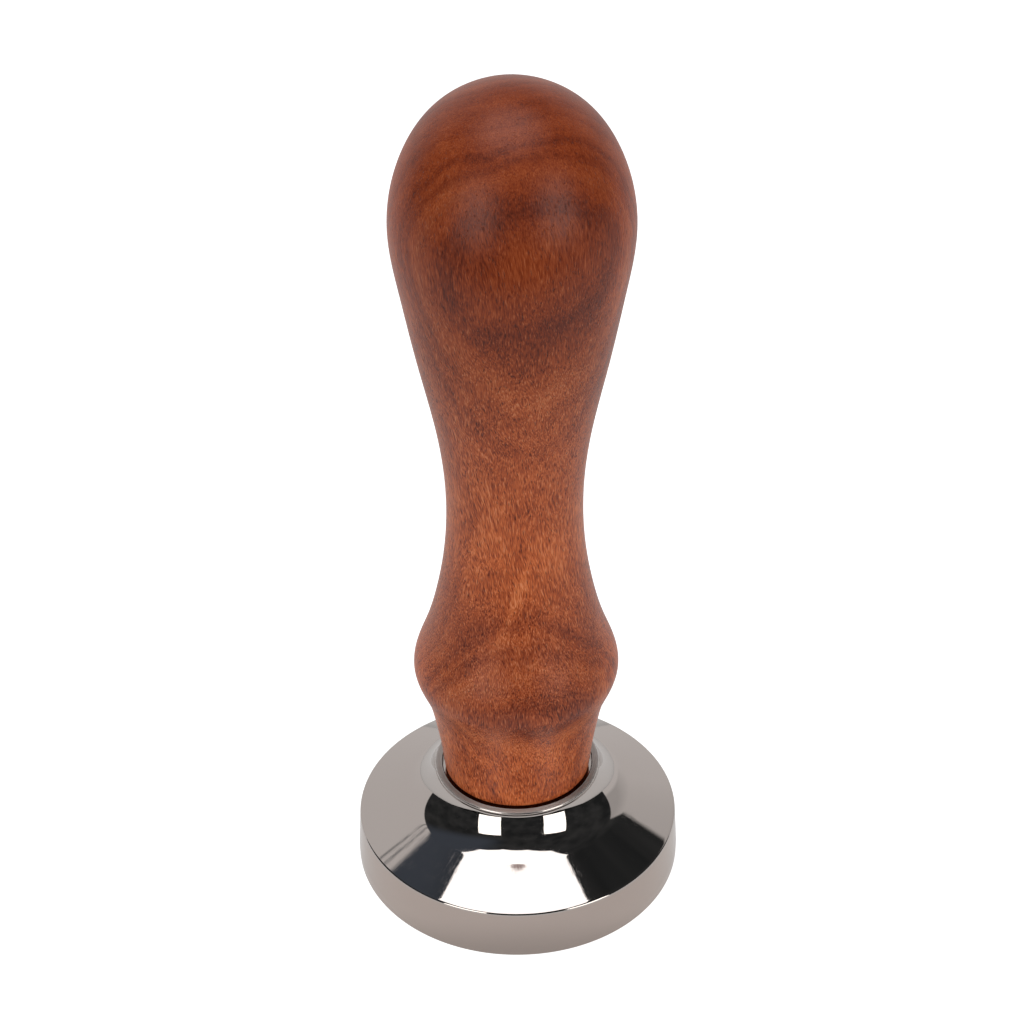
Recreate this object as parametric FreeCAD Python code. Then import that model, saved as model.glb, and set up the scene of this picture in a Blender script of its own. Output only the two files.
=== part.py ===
import FreeCAD, Part
import math
import os

from FreeCAD import Vector

# Espresso tamper for a 58 mm filter basket, in millimetres.
# A turned stainless steel base and a turned hardwood handle are joined by a threaded stud.
# The origin is the centre of the tamping face and +Z runs up the axis.

# --- base ---
BASE_RADIUS = 29.0          # land that guides the base in the filter basket
FOOT_ROUND = 0.3            # broken edge of the tamping face
LAND_TOP = 1.8              # the wall is a true cylinder up to here
WALL_TOP_RADIUS = 28.5      # above the land the wall is relieved to this radius
RIM_HEIGHT = 9.1            # where the flare meets the round of the rim
RIM_ROUND = 0.45
FLARE_SLOPE = math.radians(22.0)        # the flare starts as a cone at the rim
FLARE_END_SLOPE = math.radians(70.0)    # and curves up to this slope at the collar
COLLAR_HEIGHT = 19.0        # flat top of the collar
COLLAR_RADIUS = 14.6        # narrow upright band round the collar
COLLAR_BAND_BOTTOM = 18.2
COLLAR_ROUND = 0.3
RECESS_RADIUS = 13.25       # the end of the handle sits in this recess
RECESS_DEPTH = 1.0
RECESS_CHAMFER = 0.18
BASE_THICKNESS_UNDER_HOLE = 2.6     # steel left between the drill point and the tamping face
DRILL_RADIUS = 3.4
DRILL_POINT_ANGLE = math.radians(118.0)
COUNTERSINK_LIFT = 0.15     # the countersink's cutter stands this far above the recess floor

# --- M8 x 1.25 screw thread that joins base and handle ---
PITCH = 1.25
STUD_MAJOR_RADIUS = 3.95
STUD_MINOR_RADIUS = 3.23
THREAD_CLEARANCE = 0.12     # between the threads of stud and insert, square to the surface
FLANK_ANGLE = math.radians(30.0)
CREST_SHARE = 1.0 / 8.0     # flat on the crest, as a share of the pitch
THREAD_BITE = 0.05          # depth to which the ridge is sunk into its core

# --- stud ---
STUD_LENGTH = 25.0
TURNS_ENGAGED = 9           # turns of the handle from tight to free
STUD_CHAMFER = 0.95
SOCKET_ACROSS_FLATS = 4.0
SOCKET_DEPTH = 5.0

# --- washer ---
WASHER_THICKNESS = RECESS_DEPTH
WASHER_OUTER_RADIUS = 10.0
WASHER_HOLE_RADIUS = 4.25
WASHER_ROUND = 0.15

# --- threaded insert ---
INSERT_LENGTH = 13.0
INSERT_BODY_RADIUS = 5.3
INSERT_THREAD_RADIUS = 6.1
INSERT_THREAD_PITCH = 2.5
INSERT_CREST = 0.35         # flat on the crest of the wood thread
INSERT_ROOT = 1.2           # width of the wood thread at the body
INSERT_LEAD_IN = 0.9        # chamfer at the inner end
INSERT_BITE = 0.1           # depth to which the wood thread is sunk into the body
SLOT_WIDTH = 1.6            # screwdriver slot in the outer end
SLOT_DEPTH = 1.5

# --- handle ---
HANDLE_END = COLLAR_HEIGHT  # end face of the wood, resting on the washer
HANDLE_FOOT_RADIUS = 12.85  # where the neck leaves the round of its lower edge
HANDLE_EDGE_ROUND = 0.4
HANDLE_TOP = 142.2
NECK_FLARE = 0.13           # lean of the neck at its foot, in radians
BORE_RADIUS = 4.6           # clearance for the stud beyond the insert
BORE_DEPTH = 17.0

# Outline of the handle: height and diameter at each station, from the foot to the crown.
NECK = [(25.0, 27.0), (30.0, 28.7), (35.0, 31.1)]
BEAD = [(40.7, 35.0)]
WAIST = [(48.0, 31.1), (56.0, 26.3), (64.0, 23.4), (75.0, 22.3), (86.0, 24.5)]
BULB = [(99.0, 29.9), (111.0, 34.5), (120.3, 36.9), (131.0, 32.4), (138.0, 22.4)]

RECESS_FLOOR = COLLAR_HEIGHT - RECESS_DEPTH
STUD_TOP = HANDLE_END + TURNS_ENGAGED * PITCH
STUD_BOTTOM = STUD_TOP - STUD_LENGTH
AXIS = Vector(0, 0, 1)
ORIGIN = Vector(0, 0, 0)


def at(radius, height):
    """A point of an outline, in the plane that is turned about the axis."""
    return Vector(radius, 0, height)


def line(start, end):
    return Part.LineSegment(start, end).toShape()


def arc(centre, radius, start_angle, end_angle):
    """Arc of an outline; angles run from the outward radius towards +Z."""
    angles = (start_angle, (start_angle + end_angle) / 2, end_angle)
    points = [centre + at(radius * math.cos(a), radius * math.sin(a)) for a in angles]
    return Part.Arc(*points).toShape()


def turned(edges):
    """Closed outline turned about the axis into one solid."""
    return Part.Face(Part.Wire(edges)).revolve(ORIGIN, AXIS, 360)


def polygon(points):
    return [line(a, b) for a, b in zip(points, points[1:] + points[:1])]


def cylinder(radius, bottom, top):
    return Part.makeCylinder(radius, top - bottom, Vector(0, 0, bottom), AXIS)


def helical_ridge(root_radius, crest_radius, root_width, crest_width, pitch, bottom, top):
    """Trapezoid swept up a right-hand helix about the axis."""
    section = Part.Wire(polygon([
        at(root_radius, bottom - root_width / 2),
        at(crest_radius, bottom - crest_width / 2),
        at(crest_radius, bottom + crest_width / 2),
        at(root_radius, bottom + root_width / 2),
    ]))
    helix = Part.makeHelix(pitch, top - bottom, root_radius)
    helix.translate(Vector(0, 0, bottom))
    sweep = Part.BRepOffsetAPI.MakePipeShell(Part.Wire(helix.Edges))
    sweep.setFrenetMode(True)
    sweep.add(section)
    sweep.build()
    sweep.makeSolid()
    return Part.Solid(sweep.shape())


def screw(minor_radius, major_radius, growth, bottom, top):
    """Core and ridge of the M8 thread, grown square to its surface, and longer than bottom to top."""
    major = major_radius + growth
    minor = minor_radius + growth
    widening = 2 * growth * (1 / math.cos(FLANK_ANGLE) - math.tan(FLANK_ANGLE))
    crest = PITCH * CREST_SHARE + widening
    root = crest + 2 * (major - minor + THREAD_BITE) * math.tan(FLANK_ANGLE)
    ridge = helical_ridge(minor - THREAD_BITE, major, root, crest, PITCH, bottom - PITCH, top + PITCH)
    core = cylinder(minor, bottom - 2 * PITCH, top + 2 * PITCH)
    return core.fuse(ridge)


def cross(a, b):
    return a.x * b.z - a.z * b.x


def flare_edges(rim_point):
    """Cone from the rim, tangent arc up to the collar, upright band and its round."""
    band_foot = at(COLLAR_RADIUS, COLLAR_BAND_BOTTOM)
    inward = at(-math.cos(FLARE_SLOPE), math.sin(FLARE_SLOPE))
    upward = at(-math.cos(FLARE_END_SLOPE), math.sin(FLARE_END_SLOPE))
    reach = band_foot - rim_point
    turn = cross(inward, upward)
    tangent = cross(inward, reach) / turn
    cone_length = cross(reach, upward) / turn - tangent
    radius = tangent / math.tan((FLARE_END_SLOPE - FLARE_SLOPE) / 2)
    centre = band_foot + at(math.sin(FLARE_END_SLOPE), math.cos(FLARE_END_SLOPE)) * radius
    band_top = at(COLLAR_RADIUS, COLLAR_HEIGHT - COLLAR_ROUND)
    return [
        line(rim_point, rim_point + inward * cone_length),
        arc(centre, radius, -math.pi / 2 - FLARE_SLOPE, -math.pi / 2 - FLARE_END_SLOPE),
        line(band_foot, band_top),
        arc(band_top - at(COLLAR_ROUND, 0), COLLAR_ROUND, 0, math.pi / 2),
    ]


def base_blank():
    """Turned outside of the base, with the recess for the handle."""
    relief = math.atan2(BASE_RADIUS - WALL_TOP_RADIUS, RIM_HEIGHT - LAND_TOP)
    rim_centre = at(
        WALL_TOP_RADIUS - RIM_ROUND * math.cos(relief),
        RIM_HEIGHT - RIM_ROUND * math.cos(FLARE_SLOPE),
    )
    wall_top = rim_centre + at(RIM_ROUND * math.cos(relief), RIM_ROUND * math.sin(relief))
    rim_point = rim_centre + at(RIM_ROUND * math.sin(FLARE_SLOPE), RIM_ROUND * math.cos(FLARE_SLOPE))
    foot_centre = at(BASE_RADIUS - FOOT_ROUND, FOOT_ROUND)
    edges = [
        line(ORIGIN, at(BASE_RADIUS - FOOT_ROUND, 0)),
        arc(foot_centre, FOOT_ROUND, -math.pi / 2, 0),
        line(at(BASE_RADIUS, FOOT_ROUND), at(BASE_RADIUS, LAND_TOP)),
        line(at(BASE_RADIUS, LAND_TOP), wall_top),
        arc(rim_centre, RIM_ROUND, relief, math.pi / 2 - FLARE_SLOPE),
    ]
    edges += flare_edges(rim_point)
    inside = [
        at(COLLAR_RADIUS - COLLAR_ROUND, COLLAR_HEIGHT),
        at(RECESS_RADIUS + RECESS_CHAMFER, COLLAR_HEIGHT),
        at(RECESS_RADIUS, COLLAR_HEIGHT - RECESS_CHAMFER),
        at(RECESS_RADIUS, RECESS_FLOOR),
        at(0, RECESS_FLOOR),
        ORIGIN,
    ]
    edges += [line(a, b) for a, b in zip(inside, inside[1:])]
    return turned(edges)


def make_stud():
    """M8 grub screw with a hexagon socket in its upper end."""
    thread = screw(STUD_MINOR_RADIUS, STUD_MAJOR_RADIUS, 0, STUD_BOTTOM, STUD_TOP)
    end_radius = STUD_MAJOR_RADIUS - STUD_CHAMFER
    outside = end_radius + 2 * STUD_CHAMFER
    envelope = turned(polygon([
        at(0, STUD_BOTTOM),
        at(end_radius, STUD_BOTTOM),
        at(outside, STUD_BOTTOM + 2 * STUD_CHAMFER),
        at(outside, STUD_TOP - 2 * STUD_CHAMFER),
        at(end_radius, STUD_TOP),
        at(0, STUD_TOP),
    ]))
    corner = SOCKET_ACROSS_FLATS / math.sqrt(3)
    angles = [k * math.pi / 3 for k in range(6)]
    bottom = STUD_TOP - SOCKET_DEPTH
    corners = [Vector(corner * math.cos(a), corner * math.sin(a), bottom) for a in angles]
    socket = Part.Face(Part.Wire(polygon(corners))).extrude(Vector(0, 0, 2 * SOCKET_DEPTH))
    return thread.common(envelope).cut(socket)


def make_base(stud):
    """The blank with its blind tapped hole, which fits the stud face to face."""
    point_height = DRILL_RADIUS / math.tan(DRILL_POINT_ANGLE / 2)
    point_bottom = BASE_THICKNESS_UNDER_HOLE
    drill = turned(polygon([
        at(0, point_bottom),
        at(DRILL_RADIUS, point_bottom + point_height),
        at(DRILL_RADIUS, STUD_BOTTOM + STUD_CHAMFER),
        at(0, STUD_BOTTOM + STUD_CHAMFER),
    ]))
    countersink = turned(polygon([
        at(0, RECESS_FLOOR - STUD_CHAMFER),
        at(STUD_MAJOR_RADIUS - STUD_CHAMFER, RECESS_FLOOR - STUD_CHAMFER),
        at(STUD_MAJOR_RADIUS + COUNTERSINK_LIFT, RECESS_FLOOR + COUNTERSINK_LIFT),
        at(0, RECESS_FLOOR + COUNTERSINK_LIFT),
    ]))
    return base_blank().cut(stud).cut(drill).cut(countersink)


def make_washer():
    """Flat washer with softened outer edges."""
    bottom = RECESS_FLOOR
    top = RECESS_FLOOR + WASHER_THICKNESS
    rim = WASHER_OUTER_RADIUS
    soft = WASHER_ROUND
    return turned(polygon([
        at(WASHER_HOLE_RADIUS, bottom),
        at(rim - soft, bottom),
        at(rim, bottom + soft),
        at(rim, top - soft),
        at(rim - soft, top),
        at(WASHER_HOLE_RADIUS, top),
    ]))


def make_insert():
    """Brass insert with a coarse wood thread outside and the M8 thread inside."""
    bottom = HANDLE_END
    top = HANDLE_END + INSERT_LENGTH
    ridge = helical_ridge(
        INSERT_BODY_RADIUS - INSERT_BITE, INSERT_THREAD_RADIUS, INSERT_ROOT, INSERT_CREST,
        INSERT_THREAD_PITCH, bottom - INSERT_THREAD_PITCH, top + INSERT_THREAD_PITCH,
    )
    body = cylinder(INSERT_BODY_RADIUS, bottom - 2 * INSERT_THREAD_PITCH, top + 2 * INSERT_THREAD_PITCH)
    lead_in_radius = INSERT_THREAD_RADIUS - INSERT_LEAD_IN
    beyond = lead_in_radius + 2 * INSERT_LEAD_IN
    envelope = turned(polygon([
        at(0, bottom),
        at(beyond, bottom),
        at(beyond, top - 2 * INSERT_LEAD_IN),
        at(lead_in_radius, top),
        at(0, top),
    ]))
    outside = body.fuse(ridge).common(envelope)
    tapped = screw(STUD_MINOR_RADIUS, STUD_MAJOR_RADIUS, THREAD_CLEARANCE, bottom, top)
    reach = 2 * INSERT_THREAD_RADIUS
    corner = Vector(-reach, -SLOT_WIDTH / 2, bottom - SLOT_DEPTH)
    slot = Part.makeBox(2 * reach, SLOT_WIDTH, 2 * SLOT_DEPTH, corner)
    return outside.cut(tapped).cut(slot)


def handle_blank():
    """Turned outside of the wooden handle: neck, bead, waist and bulb in one flowing line."""
    lean = at(math.cos(NECK_FLARE), -math.sin(NECK_FLARE))
    foot = at(HANDLE_FOOT_RADIUS, HANDLE_END + HANDLE_EDGE_ROUND * (1 - math.sin(NECK_FLARE)))
    edge_centre = foot - lean * HANDLE_EDGE_ROUND
    stations = NECK + BEAD + WAIST + BULB
    points = [foot] + [at(diameter / 2, height) for height, diameter in stations] + [at(0, HANDLE_TOP)]
    outline = Part.BSplineCurve()
    outline.interpolate(
        Points=points,
        InitialTangent=at(math.sin(NECK_FLARE), math.cos(NECK_FLARE)),
        FinalTangent=at(-1, 0),
    )
    return turned([
        line(at(0, HANDLE_END), at(edge_centre.x, HANDLE_END)),
        arc(edge_centre, HANDLE_EDGE_ROUND, -math.pi / 2, -NECK_FLARE),
        outline.toShape(),
        line(at(0, HANDLE_TOP), at(0, HANDLE_END)),
    ])


def make_handle(insert):
    """The wood, bored for the stud and cut by the insert that is screwed into it."""
    bore = cylinder(BORE_RADIUS, HANDLE_END, HANDLE_END + BORE_DEPTH)
    return handle_blank().cut(insert).cut(bore)


def main():
    os.makedirs("parts", exist_ok=True)
    stud = make_stud()
    insert = make_insert()
    parts = {
        "base": make_base(stud),
        "stud": stud,
        "washer": make_washer(),
        "threaded_insert": insert,
        "handle": make_handle(insert),
    }
    for name, shape in parts.items():
        print(name, "valid", shape.isValid(), "solids", len(shape.Solids), "volume", round(shape.Volume, 2))
        shape.exportStep("parts/" + name + ".step")


main()
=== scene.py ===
import math

import bmesh
import bpy
import numpy as np
from mathutils import Matrix, Vector


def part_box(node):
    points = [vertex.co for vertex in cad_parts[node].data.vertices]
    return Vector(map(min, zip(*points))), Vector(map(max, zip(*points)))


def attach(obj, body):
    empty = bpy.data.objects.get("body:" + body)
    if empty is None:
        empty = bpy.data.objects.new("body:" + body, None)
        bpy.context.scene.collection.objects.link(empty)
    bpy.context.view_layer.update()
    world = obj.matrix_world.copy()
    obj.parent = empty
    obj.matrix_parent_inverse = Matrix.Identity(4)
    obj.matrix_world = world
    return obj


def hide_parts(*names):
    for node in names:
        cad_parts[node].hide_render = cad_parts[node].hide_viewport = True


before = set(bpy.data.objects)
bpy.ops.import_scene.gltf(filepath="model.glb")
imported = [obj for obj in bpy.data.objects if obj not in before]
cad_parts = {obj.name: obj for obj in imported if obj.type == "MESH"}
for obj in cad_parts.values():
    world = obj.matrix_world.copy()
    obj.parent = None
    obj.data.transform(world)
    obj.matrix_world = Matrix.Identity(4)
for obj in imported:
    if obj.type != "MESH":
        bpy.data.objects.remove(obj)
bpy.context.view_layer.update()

MM = 0.001
SEGMENTS = 288              # faces round a turned piece
WHITE = (1.0, 1.0, 1.0, 1.0)

# --- camera, in metres and degrees ---
CAMERA_DISTANCE = 0.2775
CAMERA_ELEVATION = 31.745
CAMERA_ROLL = 0.6
AIM = Vector((-0.00045, 0.0, 0.07072))
LENS = 60.0
CLIP_START = 0.01

# --- table, in metres ---
FLOOR_RADIUS = 3.0
FLOOR_SIDES = 96
FLOOR_ALBEDO = 0.5
FLOOR_GLOW = 0.42
FLOOR_FRONT = (0.14, 0.21)              # in front, the pale table fades into the dim room between these
# painted shadow: the table's glow and colour are darker near the foot of the base, most at its front
CONTACT_CENTRE = (0.0, -0.015, 0.0)     # shadow on the table, darkest at the foot of the front
CONTACT_REACH = (0.0145, 0.0250)
PAINTED_CONTACT_SHADE = 0.76

# --- lights, in metres and degrees ---
SOFTBOX_PLACE = (-0.0375, -0.1075, 1.0)
SOFTBOX_REACH = 0.4025                  # from its centre to the middle of a side
SOFTBOX_SIDES = 8
SOFTBOX_RADIANCE = 2.3
WINDOW_AZIMUTHS = {"window_left": -33.5, "window_right": 44.5}
WINDOW_DISTANCE = 1.5
WINDOW_WIDTH = 0.72
WINDOW_HEIGHT = 1.06
WINDOW_GAP = 0.02
WINDOW_RADIANCE = 3.0
WINDOW_COLOUR = (1.0, 0.985, 0.95)

# --- surroundings, as parts of a unit direction ---
BACKDROP_COLOUR = (0.72, 0.70, 0.69, 1.0)
BACKDROP_SIDE = 0.5                     # depth to width of the directions along its side edges
LEFT_SLANT = -0.42                      # slant and height of its upper edge on the left
LEFT_TOP = (0.985, 1.005)
RIGHT_SLANT = 0.06                      # and on the right
RIGHT_TOP = (0.64, 0.67)
LEFT_BEGINS = (-0.15, -0.30)            # where the left edge takes over from the right one
SEAMS = (0.942, 0.966)                  # two thin dark lines just below the edge on the left
SEAM_WIDTH = (0.001, 0.007)
SEAM_SHADE = 0.35
RIGHT_SHADE = 0.70                      # the far right of the backdrop is darker above the table
ROOM_COLOUR = (0.020, 0.022, 0.023, 1.0)
ROOM_LIGHTER = (0.045, 0.047, 0.048, 1.0)
SPILL_COLOUR = (0.065, 0.078, 0.100, 1.0)   # cool light high on the left of the room

# --- outline of the base, in millimetres, as it is turned ---
BASE_RADIUS = 29.0
FOOT_ROUND = 0.3
LAND_TOP = 1.8
WALL_TOP_RADIUS = 28.5
RIM_HEIGHT = 9.1
RIM_ROUND = 0.45
FLARE_SLOPE = math.radians(22.5)
FLARE_END_SLOPE = math.radians(70.0)
COLLAR_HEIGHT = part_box("base")[1][2] / MM
COLLAR_RADIUS = 14.6
COLLAR_BAND_BOTTOM = 18.2
COLLAR_ROUND = 0.3
RECESS_RADIUS = 13.25
RECESS_CHAMFER = 0.18
RECESS_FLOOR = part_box("washer")[0][2] / MM
TAP_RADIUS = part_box("stud")[1][0] / MM + 0.02
TAP_MOUTH = 4.2
TAP_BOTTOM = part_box("stud")[0][2] / MM - 0.3
DRILL_POINT = 2.6

# --- outline of the handle, in millimetres; the stations are (height, diameter) ---
HANDLE_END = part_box("handle")[0][2] / MM
HANDLE_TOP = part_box("handle")[1][2] / MM
HANDLE_FOOT_RADIUS = 12.85
HANDLE_EDGE_ROUND = 0.4
NECK_FLARE = 0.13
STATIONS = [
    (25.0, 27.0), (30.0, 28.7), (35.0, 31.1), (40.7, 35.0), (48.0, 31.1), (56.0, 26.3), (64.0, 23.4),
    (75.0, 22.3), (86.0, 24.5), (99.0, 29.9), (111.0, 34.5), (120.3, 36.9), (131.0, 32.4), (138.0, 22.4),
]
STATION_SPACING = 0.5
BORE_RADIUS = 5.35
BORE_MOUTH_RADIUS = 6.4
BORE_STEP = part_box("threaded_insert")[1][2] / MM
STUD_BORE_RADIUS = 4.6
STUD_BORE_END = HANDLE_END + 17.0

# --- wood, in millimetres ---
PITH = (-2.8, 17.8)
# dark growth layers: distance from the axis as seen from the pith, width and depth of colour
DARK_LAYERS = [(16.4, 1.0, 1.0), (14.7, 0.5, 0.4), (13.4, 0.8, 0.5), (12.0, 0.5, 0.4), (17.5, 0.5, 0.3)]
OVAL_FOOT = 97.0                        # the dark layers fade here on the front, below the bulb
STREAK_SLANT = 0.38
STREAK_START = -23.9
# painted sheen: the wood is painted paler towards its left and right sides, between these distances from the
# middle
PAINTED_SHEEN_SIDES = (13.0, 20.5)               # the wood turns paler between these distances from the middle
PAINTED_SHEEN_STRENGTH = (1.7, 1.6, 1.3)
WOOD_TONES = [
    (0.0, (0.095, 0.018, 0.007)),
    (0.25, (0.220, 0.040, 0.013)),
    (0.5, (0.370, 0.076, 0.022)),
    (0.75, (0.500, 0.125, 0.040)),
    (1.0, (0.640, 0.220, 0.095)),
]
WOOD_TONE_RANGE = (0.57, 1.07)
LATE_WOOD_COLOUR = (0.120, 0.024, 0.017, 1.0)
# pale specks: partly the wood's own pale fibres and partly painted glints
FLECK_AND_GLINT_COLOUR = (0.62, 0.26, 0.15, 1.0)
PORE_COLOUR = (0.055, 0.012, 0.007, 1.0)
# how strong the wood's colour is, from the foot of the handle to its crown: partly the wood's own tone and
# partly painted light and shade, lighter on the neck and the waist, darker on the bead and the top of the bulb
SHADE_HEIGHTS = (16.0, 146.0)
TONE_AND_PAINTED_SHADE = [
    (0.00, (1.55, 1.60, 1.50)),
    (0.10, (1.50, 1.55, 1.45)),
    (0.17, (1.05, 1.02, 1.00)),
    (0.27, (1.08, 1.05, 1.05)),
    (0.40, (1.45, 1.50, 1.45)),
    (0.55, (1.20, 1.20, 1.20)),
    (0.68, (0.90, 0.82, 0.76)),
    (0.80, (0.80, 0.68, 0.62)),
    (1.00, (0.80, 0.68, 0.62)),
]

# --- steel ---
MIRROR_COLOUR = (0.53, 0.485, 0.46, 1.0)
# painted reflection: the wall's steel is darker and warmer than the mirror's, for the table that it reflects
PAINTED_WALL_TINT = (0.52, 0.44, 0.40, 1.0)
MIRROR_ROUGHNESS = 0.036
SATIN_ROUGHNESS = 0.45
COLLAR_LEAN = 0.55                      # sideways part of the normal on the dished ring


# ---------------------------------------------------------------- turned shapes

def arc(centre, radius, start, end, steps):
    """Points of an arc; angles run from the outward radius towards +Z."""
    angles = [start + (end - start) * k / steps for k in range(steps + 1)]
    return [(centre[0] + radius * math.cos(a), centre[1] + radius * math.sin(a)) for a in angles]


def run(start, end, steps):
    """Points along a straight run, so that long faces are divided evenly."""
    return [
        (start[0] + (end[0] - start[0]) * k / steps, start[1] + (end[1] - start[1]) * k / steps)
        for k in range(steps + 1)
    ]


def clamped_spline(points, first_tangent, last_tangent, spacing):
    """Cubic spline through points, by chord length, with a given direction at each end."""
    knots = np.array(points, dtype=float)
    chords = np.hypot(*np.diff(knots, axis=0).T)
    count = len(knots)
    rows = np.zeros((count, count))
    right = np.zeros((count, 2))
    rows[0, 0] = rows[-1, -1] = 1.0
    right[0] = first_tangent
    right[-1] = last_tangent
    for k in range(1, count - 1):
        before, after = chords[k - 1], chords[k]
        rows[k, k - 1:k + 2] = after, 2 * (before + after), before
        right[k] = 3 * (
            after / before * (knots[k] - knots[k - 1]) + before / after * (knots[k + 1] - knots[k])
        )
    slopes = np.linalg.solve(rows, right)
    out = [tuple(knots[0])]
    for k, chord in enumerate(chords):
        steps = max(4, int(round(chord / spacing)))
        for j in range(1, steps + 1):
            t = j / steps
            point = (
                (2 * t ** 3 - 3 * t ** 2 + 1) * knots[k] + (t ** 3 - 2 * t ** 2 + t) * chord * slopes[k]
                + (3 * t ** 2 - 2 * t ** 3) * knots[k + 1] + (t ** 3 - t ** 2) * chord * slopes[k + 1]
            )
            out.append(tuple(point))
    return out


def lathe(name, outline, material):
    """Turns an outline of (radius, height) in millimetres, from axis to axis, into a closed mesh."""
    clean = [outline[0]]
    for point in outline[1:]:
        if math.dist(point, clean[-1]) > 1e-4:
            clean.append(point)
    mesh = bmesh.new()
    rings = []
    for radius, height in clean:
        if radius < 1e-6:
            rings.append([mesh.verts.new((0, 0, height * MM))])
            continue
        turn = [2 * math.pi * k / SEGMENTS for k in range(SEGMENTS)]
        rings.append([
            mesh.verts.new((radius * MM * math.cos(a), radius * MM * math.sin(a), height * MM))
            for a in turn
        ])
    for low, high in zip(rings, rings[1:]):
        for k in range(SEGMENTS):
            j = (k + 1) % SEGMENTS
            if len(low) == 1:
                mesh.faces.new((low[0], high[j], high[k]))
            elif len(high) == 1:
                mesh.faces.new((low[k], low[j], high[0]))
            else:
                mesh.faces.new((low[k], low[j], high[j], high[k]))
    bmesh.ops.recalc_face_normals(mesh, faces=mesh.faces)
    data = bpy.data.meshes.new(name)
    mesh.to_mesh(data)
    mesh.free()
    data.shade_smooth()
    data.set_sharp_from_angle(angle=math.radians(32))
    data.materials.append(material)
    piece = bpy.data.objects.new(name, data)
    bpy.context.collection.objects.link(piece)
    return piece


def flare_outline(rim_point):
    """Cone from the rim, tangent arc up to the collar, upright band and its round."""
    inward = (-math.cos(FLARE_SLOPE), math.sin(FLARE_SLOPE))
    upward = (-math.cos(FLARE_END_SLOPE), math.sin(FLARE_END_SLOPE))
    reach = (COLLAR_RADIUS - rim_point[0], COLLAR_BAND_BOTTOM - rim_point[1])
    turn = inward[0] * upward[1] - inward[1] * upward[0]
    tangent = (inward[0] * reach[1] - inward[1] * reach[0]) / turn
    cone_length = (reach[0] * upward[1] - reach[1] * upward[0]) / turn - tangent
    radius = tangent / math.tan((FLARE_END_SLOPE - FLARE_SLOPE) / 2)
    centre = (
        COLLAR_RADIUS + radius * math.sin(FLARE_END_SLOPE),
        COLLAR_BAND_BOTTOM + radius * math.cos(FLARE_END_SLOPE),
    )
    cone_end = (rim_point[0] + cone_length * inward[0], rim_point[1] + cone_length * inward[1])
    band_top = COLLAR_HEIGHT - COLLAR_ROUND
    points = run(rim_point, cone_end, 24)
    points += arc(centre, radius, -math.pi / 2 - FLARE_SLOPE, -math.pi / 2 - FLARE_END_SLOPE, 64)
    points += run((COLLAR_RADIUS, COLLAR_BAND_BOTTOM), (COLLAR_RADIUS, band_top), 3)
    points += arc((COLLAR_RADIUS - COLLAR_ROUND, band_top), COLLAR_ROUND, 0, math.pi / 2, 10)
    return points


def base_outline():
    """Foot, wall, rim, flare, collar, recess and blind hole, as one line."""
    relief = math.atan2(BASE_RADIUS - WALL_TOP_RADIUS, RIM_HEIGHT - LAND_TOP)
    rim = (WALL_TOP_RADIUS - RIM_ROUND * math.cos(relief), RIM_HEIGHT - RIM_ROUND * math.cos(FLARE_SLOPE))
    wall_top = (rim[0] + RIM_ROUND * math.cos(relief), rim[1] + RIM_ROUND * math.sin(relief))
    rim_point = (rim[0] + RIM_ROUND * math.sin(FLARE_SLOPE), rim[1] + RIM_ROUND * math.cos(FLARE_SLOPE))
    points = run((0, 0), (BASE_RADIUS - FOOT_ROUND, 0), 24)
    points += arc((BASE_RADIUS - FOOT_ROUND, FOOT_ROUND), FOOT_ROUND, -math.pi / 2, 0, 8)
    points += run((BASE_RADIUS, FOOT_ROUND), (BASE_RADIUS, LAND_TOP), 4)
    points += run((BASE_RADIUS, LAND_TOP), wall_top, 12)
    points += arc(rim, RIM_ROUND, relief, math.pi / 2 - FLARE_SLOPE, 12)
    points += flare_outline(rim_point)
    points += run(points[-1], (RECESS_RADIUS + RECESS_CHAMFER, COLLAR_HEIGHT), 4)
    points += [(RECESS_RADIUS, COLLAR_HEIGHT - RECESS_CHAMFER)]
    points += run((RECESS_RADIUS, RECESS_FLOOR), (TAP_MOUTH, RECESS_FLOOR), 10)
    points += [(TAP_RADIUS, RECESS_FLOOR - TAP_MOUTH + TAP_RADIUS)]
    points += [(TAP_RADIUS, TAP_BOTTOM), (0, DRILL_POINT)]
    return points


def handle_outline():
    """Bore, end face, neck, bead, waist and bulb, as one line."""
    lean = (math.cos(NECK_FLARE), -math.sin(NECK_FLARE))
    foot = (HANDLE_FOOT_RADIUS, HANDLE_END + HANDLE_EDGE_ROUND * (1 - math.sin(NECK_FLARE)))
    edge = (foot[0] - lean[0] * HANDLE_EDGE_ROUND, foot[1] - lean[1] * HANDLE_EDGE_ROUND)
    knots = [foot] + [(diameter / 2, height) for height, diameter in STATIONS] + [(0.0, HANDLE_TOP)]
    points = [(0, STUD_BORE_END), (STUD_BORE_RADIUS, STUD_BORE_END), (STUD_BORE_RADIUS, BORE_STEP)]
    points += [(BORE_RADIUS, BORE_STEP), (BORE_RADIUS, HANDLE_END + BORE_MOUTH_RADIUS - BORE_RADIUS)]
    points += run((BORE_MOUTH_RADIUS, HANDLE_END), (edge[0], HANDLE_END), 8)
    points += arc(edge, HANDLE_EDGE_ROUND, -math.pi / 2, -NECK_FLARE, 8)
    points += clamped_spline(knots, (math.sin(NECK_FLARE), math.cos(NECK_FLARE)), (-1.0, 0.0), STATION_SPACING)
    points[-1] = (0.0, HANDLE_TOP)
    return points


# ---------------------------------------------------------------- materials

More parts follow.
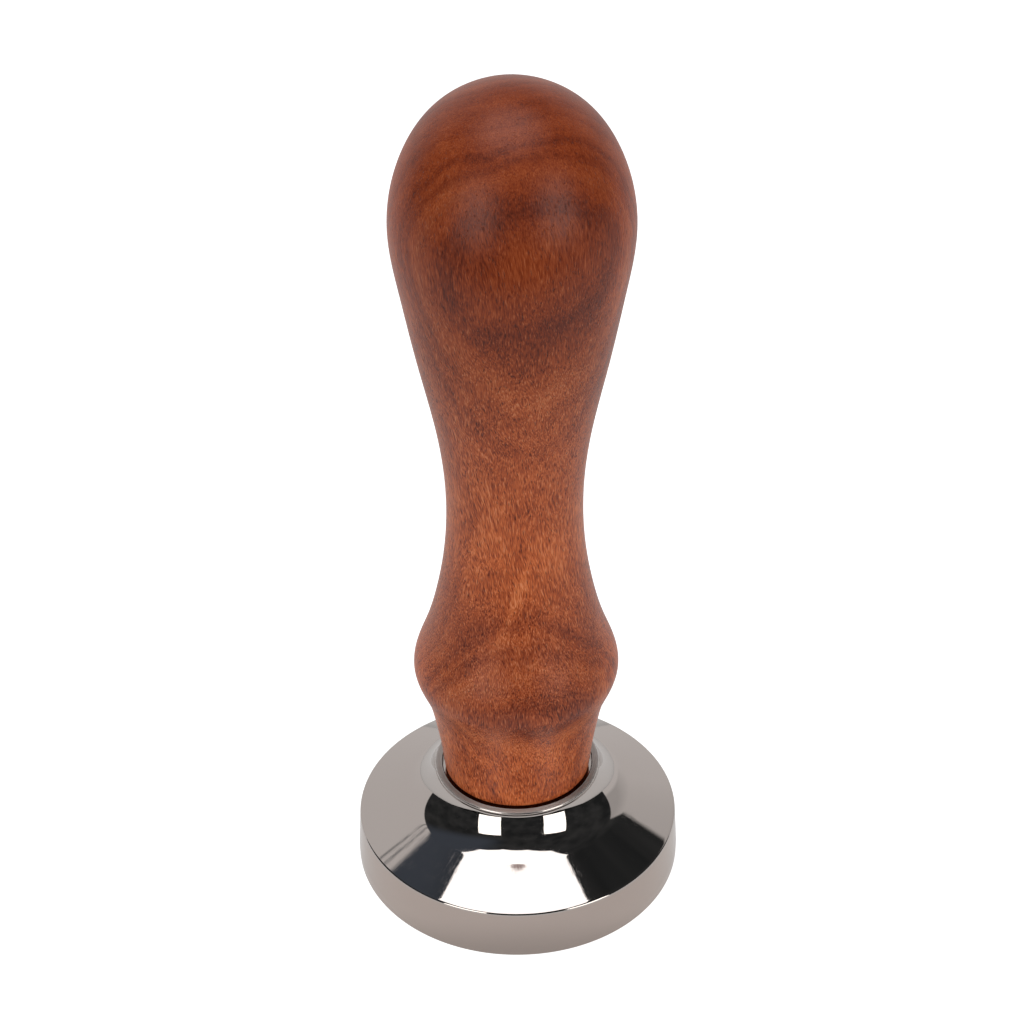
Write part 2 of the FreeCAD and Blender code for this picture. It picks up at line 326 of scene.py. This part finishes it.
class Graph:
    """Short-hand for wiring up one node tree."""

    def __init__(self, tree):
        self.tree = tree
        tree.nodes.clear()

    def node(self, kind, inputs=None, **settings):
        made = self.tree.nodes.new("ShaderNode" + kind)
        for key, value in settings.items():
            setattr(made, key, value)
        for key, value in (inputs or {}).items():
            self.feed(made.inputs[key], value)
        return made

    def feed(self, socket, value):
        if isinstance(value, bpy.types.NodeSocket):
            self.tree.links.new(value, socket)
        else:
            socket.default_value = value

    def math(self, operation, a, b=0.0, c=0.0):
        return self.node("Math", {0: a, 1: b, 2: c}, operation=operation).outputs[0]

    def vector(self, operation, a, b=(0, 0, 0)):
        made = self.node("VectorMath", {0: a, 1: b}, operation=operation)
        return made.outputs["Value" if operation in ("LENGTH", "DISTANCE") else "Vector"]

    def scaled(self, vector, factors):
        return self.vector("MULTIPLY", vector, factors)

    def even(self, value):
        """The same value along all three axes."""
        return self.node("CombineXYZ", {0: value, 1: value, 2: value}).outputs[0]

    def off(self, value, centre):
        """How far a value is from a centre, either way."""
        return self.math("ABSOLUTE", self.math("SUBTRACT", value, centre))

    def noise(self, vector, scale=1.0, detail=2.0, roughness=0.5):
        inputs = {"Vector": vector, "Scale": scale, "Detail": detail, "Roughness": roughness}
        return self.node("TexNoise", inputs).outputs["Fac"]

    def drift(self, vector, detail):
        """Noise with three parts, centred on nought."""
        made = self.node("TexNoise", {"Vector": vector, "Scale": 1.0, "Detail": detail})
        return self.vector("SUBTRACT", made.outputs["Color"], (0.5, 0.5, 0.5))

    def noise_of(self, value, detail=2.0, roughness=0.5):
        inputs = {"W": value, "Scale": 1.0, "Detail": detail, "Roughness": roughness}
        return self.node("TexNoise", inputs, noise_dimensions="1D").outputs["Fac"]

    def span(self, value, low, high, to_low=0.0, to_high=1.0, smooth=False):
        """Maps low..high to to_low..to_high and holds the ends."""
        kind = "SMOOTHSTEP" if smooth else "LINEAR"
        inputs = {"Value": value, "From Min": low, "From Max": high, "To Min": to_low, "To Max": to_high}
        return self.node("MapRange", inputs, interpolation_type=kind, clamp=True).outputs["Result"]

    def mix(self, factor, a, b):
        made = self.node("Mix", data_type="RGBA")
        for socket, value in ((made.inputs[0], factor), (made.inputs[6], a), (made.inputs[7], b)):
            self.feed(socket, value)
        return made.outputs[2]

    def ramp(self, factor, stops):
        made = self.node("ValToRGB", {"Fac": factor})
        elements = made.color_ramp.elements
        while len(elements) < len(stops):
            elements.new(0.5)
        for element, (place, colour) in zip(elements, stops):
            element.position = place
            element.color = (*colour, 1.0)
        return made.outputs["Color"]

    def bump(self, height, distance, normal=None):
        inputs = {"Height": height, "Distance": distance}
        if normal is not None:
            inputs["Normal"] = normal
        return self.node("Bump", inputs).outputs["Normal"]


def shaded(name):
    """A material with its graph and its shader, joined to the output."""
    material = bpy.data.materials.new(name)
    material.use_nodes = True
    g = Graph(material.node_tree)
    shader = g.node("BsdfPrincipled")
    output = g.node("OutputMaterial")
    g.tree.links.new(shader.outputs[0], output.inputs["Surface"])
    return material, g, shader


def surface(name):
    """A material with its graph, its shader and object coordinates in millimetres."""
    material, g, shader = shaded(name)
    place = g.node("TexCoord").outputs["Object"]
    return material, g, shader, g.scaled(place, (1 / MM, 1 / MM, 1 / MM))


def late_wood_of(g, place, axes, layer):
    """Dark growth layers, broken up along their length and faint below the front of the bulb."""
    late_wood = 0.0
    for distance, width, depth in DARK_LAYERS:
        off = g.off(layer, math.hypot(*PITH) + distance)
        late_wood = g.math("ADD", late_wood, g.span(off, 0.0, width, depth, 0.0, smooth=True))
    patches = g.noise(g.scaled(place, (0.14, 0.14, 0.08)), detail=3.0, roughness=0.6)
    late_wood = g.math("MULTIPLY", late_wood, g.span(patches, 0.30, 0.70))
    beside = g.span(g.off(axes.outputs[0], 0.0), 5.0, 12.0)
    beyond = g.span(g.off(axes.outputs[2], OVAL_FOOT), 8.0, 14.0)
    return g.math("MULTIPLY", late_wood, g.span(g.math("MAXIMUM", beside, beyond), 0.0, 1.0, 0.25, 1.0))


def pale_streak(g, axes):
    """Paler streak that slants across the front of the waist."""
    across, depth, height = axes.outputs
    off = g.off(across, g.math("MULTIPLY_ADD", height, STREAK_SLANT, STREAK_START))
    streak = g.span(off, 0.3, 1.7, 1.0, 0.0, smooth=True)
    lower_end = g.span(height, 46.0, 56.0, smooth=True)
    upper_end = g.span(height, 74.0, 64.0, smooth=True)
    front = g.span(depth, 0.0, -4.0, smooth=True)
    return g.math("MULTIPLY", g.math("MULTIPLY", streak, g.math("MULTIPLY", lower_end, upper_end)), front)


def fleck_and_pore(g, grain, axes):
    """Pale flecks, whose pale colour is partly painted glints, dark pores and how open the grain is: least on
    the front of the bulb.
    """
    open_grain = g.span(axes.outputs[2], 132.0, 98.0, 0.55, 1.0)
    open_grain = g.math("MAXIMUM", open_grain, g.span(g.off(axes.outputs[0], 0.0), 13.0, 20.0))
    fleck = g.noise(g.scaled(grain, (6.5, 6.5, 0.60)), detail=1.0, roughness=0.6)
    fleck = g.math("MULTIPLY_ADD", g.math("SUBTRACT", fleck, 0.5), open_grain, 0.5)
    cells = g.node("TexVoronoi", {"Vector": g.scaled(grain, (2.8, 2.8, 0.45)), "Scale": 1.0})
    pore = g.span(cells.outputs["Distance"], 0.10, 0.25, 1.0, 0.0, smooth=True)
    return fleck, g.math("MULTIPLY", pore, open_grain), open_grain


def wood_colour(g, axes, tone, late_wood):
    """Colour of the wood before its flecks and pores: deeper on the bulb and the bead, partly its own tone and
    partly painted shade, and painted paler at the sides as a painted sheen.
    """
    colour = g.ramp(g.span(tone, *WOOD_TONE_RANGE), WOOD_TONES)
    colour = g.mix(g.math("MULTIPLY", late_wood, 0.50), colour, LATE_WOOD_COLOUR)
    # partly painted light and shade: the colour is made lighter or darker by height
    colour = g.vector("MULTIPLY", colour, g.ramp(g.span(axes.outputs[2], *SHADE_HEIGHTS), TONE_AND_PAINTED_SHADE))
    # painted sheen: paler colour towards the left and right sides
    beside = g.span(g.off(axes.outputs[0], 0.0), *PAINTED_SHEEN_SIDES)
    return g.vector("MULTIPLY", colour, g.ramp(beside, [(0.0, (1.0, 1.0, 1.0)), (1.0, PAINTED_SHEEN_STRENGTH)]))


def wood():
    """Oiled reddish-brown hardwood: growth layers, clouds, fibres, flecks that are partly painted glints, and
    open pores.
    """
    material, g, shader, place = surface("oiled_hardwood")
    wander = g.drift(g.scaled(place, (0.06, 0.06, 0.022)), 2.0)
    ripple = g.drift(g.scaled(place, (0.30, 0.30, 0.12)), 3.0)
    warped = g.vector("ADD", place, g.scaled(wander, (5.0, 5.0, 0.0)))
    warped = g.vector("ADD", warped, g.scaled(ripple, (1.4, 1.4, 0.0)))
    axes = g.node("SeparateXYZ", {0: warped})
    # the growth layers lie round a pith that runs beside the handle
    to_pith = g.scaled(g.vector("SUBTRACT", warped, (*PITH, 0.0)), (1.0, 1.0, 0.0))
    layer = g.vector("LENGTH", to_pith)
    late_wood = late_wood_of(g, place, axes, layer)
    # fibres and flecks run up the grain, which leans a little from the axis
    lean = g.node("CombineXYZ", {0: g.math("MULTIPLY", axes.outputs[2], 0.10)}).outputs[0]
    grain = g.vector("ADD", warped, lean)
    fleck, pore, open_grain = fleck_and_pore(g, grain, axes)
    bands = g.noise_of(g.math("MULTIPLY", layer, 0.42), detail=3.0, roughness=0.6)
    fibre = g.noise(g.scaled(grain, (1.7, 1.7, 0.24)), detail=3.0, roughness=0.6)
    cloud = g.noise(g.scaled(place, (0.13, 0.13, 0.08)), detail=3.0, roughness=0.55)
    tone = 0.0
    shares = ((bands, 0.28), (fibre, 0.24), (fleck, 0.85), (cloud, 0.28), (late_wood, -0.06),
              (pale_streak(g, axes), 0.10))
    for part, share in shares:
        tone = g.math("MULTIPLY_ADD", part, share, tone)
    colour = wood_colour(g, axes, tone, late_wood)
    # pale specks, partly the wood's own fibres and partly painted glints
    pale = g.math("MULTIPLY", g.span(fleck, 0.60, 0.75), open_grain)
    colour = g.mix(g.math("MULTIPLY", pale, 0.4), colour, FLECK_AND_GLINT_COLOUR)
    colour = g.mix(g.math("MULTIPLY", pore, 0.6), colour, PORE_COLOUR)
    height = g.math("MULTIPLY_ADD", fleck, 0.6, g.math("MULTIPLY", pore, -1.0))
    g.feed(shader.inputs["Base Color"], colour)
    g.feed(shader.inputs["Roughness"], g.span(fleck, 0.3, 0.7, 0.27, 0.40))
    g.feed(shader.inputs["Normal"], g.bump(height, 0.00008))
    shader.inputs["Specular IOR Level"].default_value = 0.28
    return material


def hairlines(g, place, radius):
    """Patches of fine radial scratches, left by polishing."""
    across, deep, _ = g.node("SeparateXYZ", {0: place}).outputs
    angle = g.math("ARCTAN2", deep, across)
    spokes = g.node("CombineXYZ", {0: g.math("MULTIPLY", angle, 90.0), 1: g.math("MULTIPLY", radius, 0.45)})
    hairs = g.noise(spokes.outputs[0], detail=2.0, roughness=0.6)
    patch = g.span(g.noise(place, scale=0.09, detail=1.0), 0.45, 0.65)
    return g.math("MULTIPLY", g.span(hairs, 0.50, 0.78), patch)


def polished_steel():
    """Mirror-polished stainless steel with faint hairlines, a wall painted darker and warmer as a painted
    reflection of the table, and a satin collar top.
    """
    material, g, shader, place = surface("polished_stainless")
    height = g.node("SeparateXYZ", {0: place}).outputs[2]
    # painted reflection: the wall below the rim takes the darker, warmer steel colour
    wall = g.span(height, RIM_HEIGHT - 0.6, RIM_HEIGHT - 0.3, 1.0, 0.0)
    top = g.span(height, COLLAR_HEIGHT - 0.12, COLLAR_HEIGHT - 0.02)
    outwards = g.scaled(place, (1.0, 1.0, 0.0))
    radius = g.vector("LENGTH", outwards)
    scratch = hairlines(g, place, radius)
    rings = g.noise_of(g.math("MULTIPLY", radius, 5.0), detail=1.0)
    facing = g.noise_of(g.math("MULTIPLY", radius, 11.0), detail=2.0)
    rough = g.math("MULTIPLY_ADD", scratch, 0.14, MIRROR_ROUGHNESS)
    rough = g.math("MULTIPLY_ADD", top, SATIN_ROUGHNESS, rough)
    marks = g.math("MULTIPLY_ADD", rings, 0.15, g.math("MULTIPLY", scratch, 0.5))
    marks = g.math("MULTIPLY_ADD", g.math("MULTIPLY", facing, top), 40.0, marks)
    # the ring on top of the collar is shaded as if dished: its normal leans outwards
    lean = g.scaled(g.vector("NORMALIZE", outwards), g.even(g.math("MULTIPLY", top, COLLAR_LEAN)))
    leaning = g.vector("NORMALIZE", g.vector("ADD", g.node("NewGeometry").outputs["Normal"], lean))
    g.feed(shader.inputs["Base Color"], g.mix(wall, MIRROR_COLOUR, PAINTED_WALL_TINT))
    g.feed(shader.inputs["Roughness"], rough)
    g.feed(shader.inputs["Normal"], g.bump(marks, 0.000002, leaning))
    shader.inputs["Metallic"].default_value = 1.0
    return material


def machined_metal(name, colour, dark, roughness):
    """Plain machined metal with fine turning lines and a little tarnish."""
    material, g, shader, place = surface(name)
    cloud = g.noise(place, scale=0.5, detail=4.0, roughness=0.6)
    line = g.noise(g.scaled(place, (0.3, 0.3, 14.0)), detail=2.0)
    g.feed(shader.inputs["Base Color"], g.mix(g.span(cloud, 0.35, 0.75), (*colour, 1.0), (*dark, 1.0)))
    g.feed(shader.inputs["Roughness"], g.math("MULTIPLY_ADD", line, 0.2, roughness))
    g.feed(shader.inputs["Normal"], g.bump(line, 0.00001))
    shader.inputs["Metallic"].default_value = 1.0
    return material


# ---------------------------------------------------------------- stage, lights, camera

def glowing(name, glow):
    """Matt black material of the stage that glows."""
    material, g, shader = shaded(name)
    shader.inputs["Base Color"].default_value = (0.0, 0.0, 0.0, 1.0)
    shader.inputs["Roughness"].default_value = 1.0
    shader.inputs["Specular IOR Level"].default_value = 0.0
    shader.inputs["Emission Color"].default_value = WHITE
    shader.inputs["Emission Strength"].default_value = glow
    return material, g, shader


def table_material():
    """Pale table: burnt out to white in the picture, softer as a light source, dim far in front."""
    material, g, shader = glowing("pale_table", FLOOR_GLOW)
    place = g.node("TexCoord").outputs["Object"]
    deep = g.node("SeparateXYZ", {0: place}).outputs[1]
    near = g.span(deep, -FLOOR_FRONT[1], -FLOOR_FRONT[0], smooth=True)
    # painted shadow: the table's glow and colour are darkened near the front of the base
    gap = g.vector("DISTANCE", place, CONTACT_CENTRE)
    near = g.math("MULTIPLY", near, g.span(gap, *CONTACT_REACH, PAINTED_CONTACT_SHADE, 1.0, smooth=True))
    glow = g.math("MULTIPLY", near, FLOOR_GLOW)
    g.feed(shader.inputs["Base Color"], g.even(g.math("MULTIPLY", near, FLOOR_ALBEDO)))
    g.feed(shader.inputs["Emission Strength"], g.math("MAXIMUM", is_seen(g), glow))
    return material


def is_seen(g):
    """One for what is seen straight through the lens, nought for light and mirror images."""
    return g.node("LightPath").outputs["Is Camera Ray"]


def add_disc(name, radius, sides, turn, place, material):
    """Flat level polygon that belongs to the stage."""
    mesh = bmesh.new()
    bmesh.ops.create_circle(mesh, cap_ends=True, radius=radius, segments=sides)
    bmesh.ops.rotate(mesh, verts=mesh.verts, cent=(0, 0, 0), matrix=Matrix.Rotation(turn, 3, "Z"))
    data = bpy.data.meshes.new(name)
    mesh.to_mesh(data)
    mesh.free()
    data.materials.append(material)
    disc = bpy.data.objects.new(name, data)
    disc.location = place
    bpy.context.collection.objects.link(disc)
    return disc


def add_window(name, azimuth):
    """Upright soft light that stands on the table in front of the object, to one side."""
    away = direction(azimuth, 0.0)
    light = bpy.data.lights.new(name, "AREA")
    light.shape = "RECTANGLE"
    light.size = WINDOW_WIDTH
    light.size_y = WINDOW_HEIGHT
    light.energy = WINDOW_RADIANCE * math.pi * WINDOW_WIDTH * WINDOW_HEIGHT
    light.color = WINDOW_COLOUR
    lamp = bpy.data.objects.new(name, light)
    lamp.location = away * WINDOW_DISTANCE
    lamp.location.z = WINDOW_HEIGHT / 2 + WINDOW_GAP
    lamp.rotation_euler = away.to_track_quat("Z", "Y").to_euler()
    lamp.visible_camera = False
    bpy.context.collection.objects.link(lamp)


def add_lights():
    """Octagonal soft box overhead and a window on each side of the camera."""
    half_side = math.pi / SOFTBOX_SIDES
    cloth = glowing("softbox_cloth", SOFTBOX_RADIANCE)[0]
    corner = SOFTBOX_REACH / math.cos(half_side)
    box = add_disc("softbox", corner, SOFTBOX_SIDES, half_side, SOFTBOX_PLACE, cloth)
    box.visible_camera = False
    for name, azimuth in WINDOW_AZIMUTHS.items():
        add_window(name, azimuth)


def direction(azimuth, elevation):
    """Unit vector; azimuth 0 is towards the viewer (-Y) and grows towards +X."""
    a, e = math.radians(azimuth), math.radians(elevation)
    return Vector((math.sin(a) * math.cos(e), -math.cos(a) * math.cos(e), math.sin(e)))


def backdrop(g, right, back, up):
    """One in the directions of the pale backdrop, less on its seams and on its far right."""
    side = g.math("MULTIPLY", g.math("ABSOLUTE", right), BACKDROP_SIDE)
    behind = g.span(g.math("SUBTRACT", back, side), 0.0, 0.02, smooth=True)
    slanted = g.math("MULTIPLY_ADD", right, LEFT_SLANT, up)
    low_left = g.span(slanted, *LEFT_TOP, 1.0, 0.0, smooth=True)
    for seam in SEAMS:
        low_left = g.math("MULTIPLY", low_left, g.span(g.off(slanted, seam), *SEAM_WIDTH, SEAM_SHADE, 1.0))
    slanted = g.math("MULTIPLY_ADD", right, RIGHT_SLANT, up)
    low_right = g.span(slanted, *RIGHT_TOP, 1.0, 0.0, smooth=True)
    on_left = g.span(right, *LEFT_BEGINS)
    low_left = g.math("MULTIPLY", low_left, on_left)
    low = g.math("MULTIPLY_ADD", low_right, g.math("SUBTRACT", 1.0, on_left), low_left)
    shade = g.math("MAXIMUM", g.span(right, 0.48, 0.72, 1.0, RIGHT_SHADE), g.span(up, 0.10, 0.35, 1.0, 0.0))
    return g.math("MULTIPLY", g.math("MULTIPLY", low, shade), behind)


def add_world():
    """Pale backdrop behind the object and a dim room in front of it and above."""
    world = bpy.data.worlds.new("studio")
    world.use_nodes = True
    bpy.context.scene.world = world
    g = Graph(world.node_tree)
    way = g.node("TexCoord").outputs["Generated"]
    right, back, up = g.node("SeparateXYZ", {0: way}).outputs
    murk = g.span(g.noise(way, scale=5.0), 0.35, 0.70)
    spill = g.math("MULTIPLY", g.span(right, -0.15, -0.5, smooth=True), g.span(up, 0.60, 0.76, smooth=True))
    room = g.mix(spill, g.mix(murk, ROOM_COLOUR, ROOM_LIGHTER), SPILL_COLOUR)
    studio = g.mix(backdrop(g, right, back, up), room, BACKDROP_COLOUR)
    background = g.node("Background", {"Color": g.mix(is_seen(g), studio, WHITE), "Strength": 1.0})
    output = g.node("OutputWorld")
    g.tree.links.new(background.outputs[0], output.inputs["Surface"])


def add_camera():
    """The photograph's point of view, in the plane of the axis and rolled a little."""
    data = bpy.data.cameras.new("camera")
    data.lens = LENS
    data.clip_start = CLIP_START
    camera = bpy.data.objects.new("camera", data)
    camera.location = AIM + direction(0.0, CAMERA_ELEVATION) * CAMERA_DISTANCE
    camera.location.x = 0.0
    camera.rotation_euler = (camera.location - AIM).to_track_quat("Z", "Y").to_euler()
    camera.rotation_euler.rotate_axis("Z", -math.radians(CAMERA_ROLL))
    bpy.context.collection.objects.link(camera)
    bpy.context.scene.camera = camera


def main():
    add_camera()
    add_disc("table", FLOOR_RADIUS, FLOOR_SIDES, 0.0, (0, 0, 0), table_material())
    add_world()
    add_lights()
    bpy.context.scene.view_settings.view_transform = "Standard"

    base = lathe("turned_base", base_outline(), polished_steel())
    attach(base, "base")
    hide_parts("base")

    handle = lathe("turned_handle", handle_outline(), wood())
    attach(handle, "handle")
    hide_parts("handle")

    metals = {
        "stud": machined_metal("stud_steel", (0.48, 0.47, 0.46), (0.30, 0.29, 0.28), 0.28),
        "washer": machined_metal("washer_steel", (0.50, 0.49, 0.48), (0.36, 0.35, 0.34), 0.32),
        "threaded_insert": machined_metal("insert_brass", (0.72, 0.50, 0.22), (0.50, 0.32, 0.13), 0.26),
    }
    for node, material in metals.items():
        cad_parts[node].material_slots[0].material = material


main()
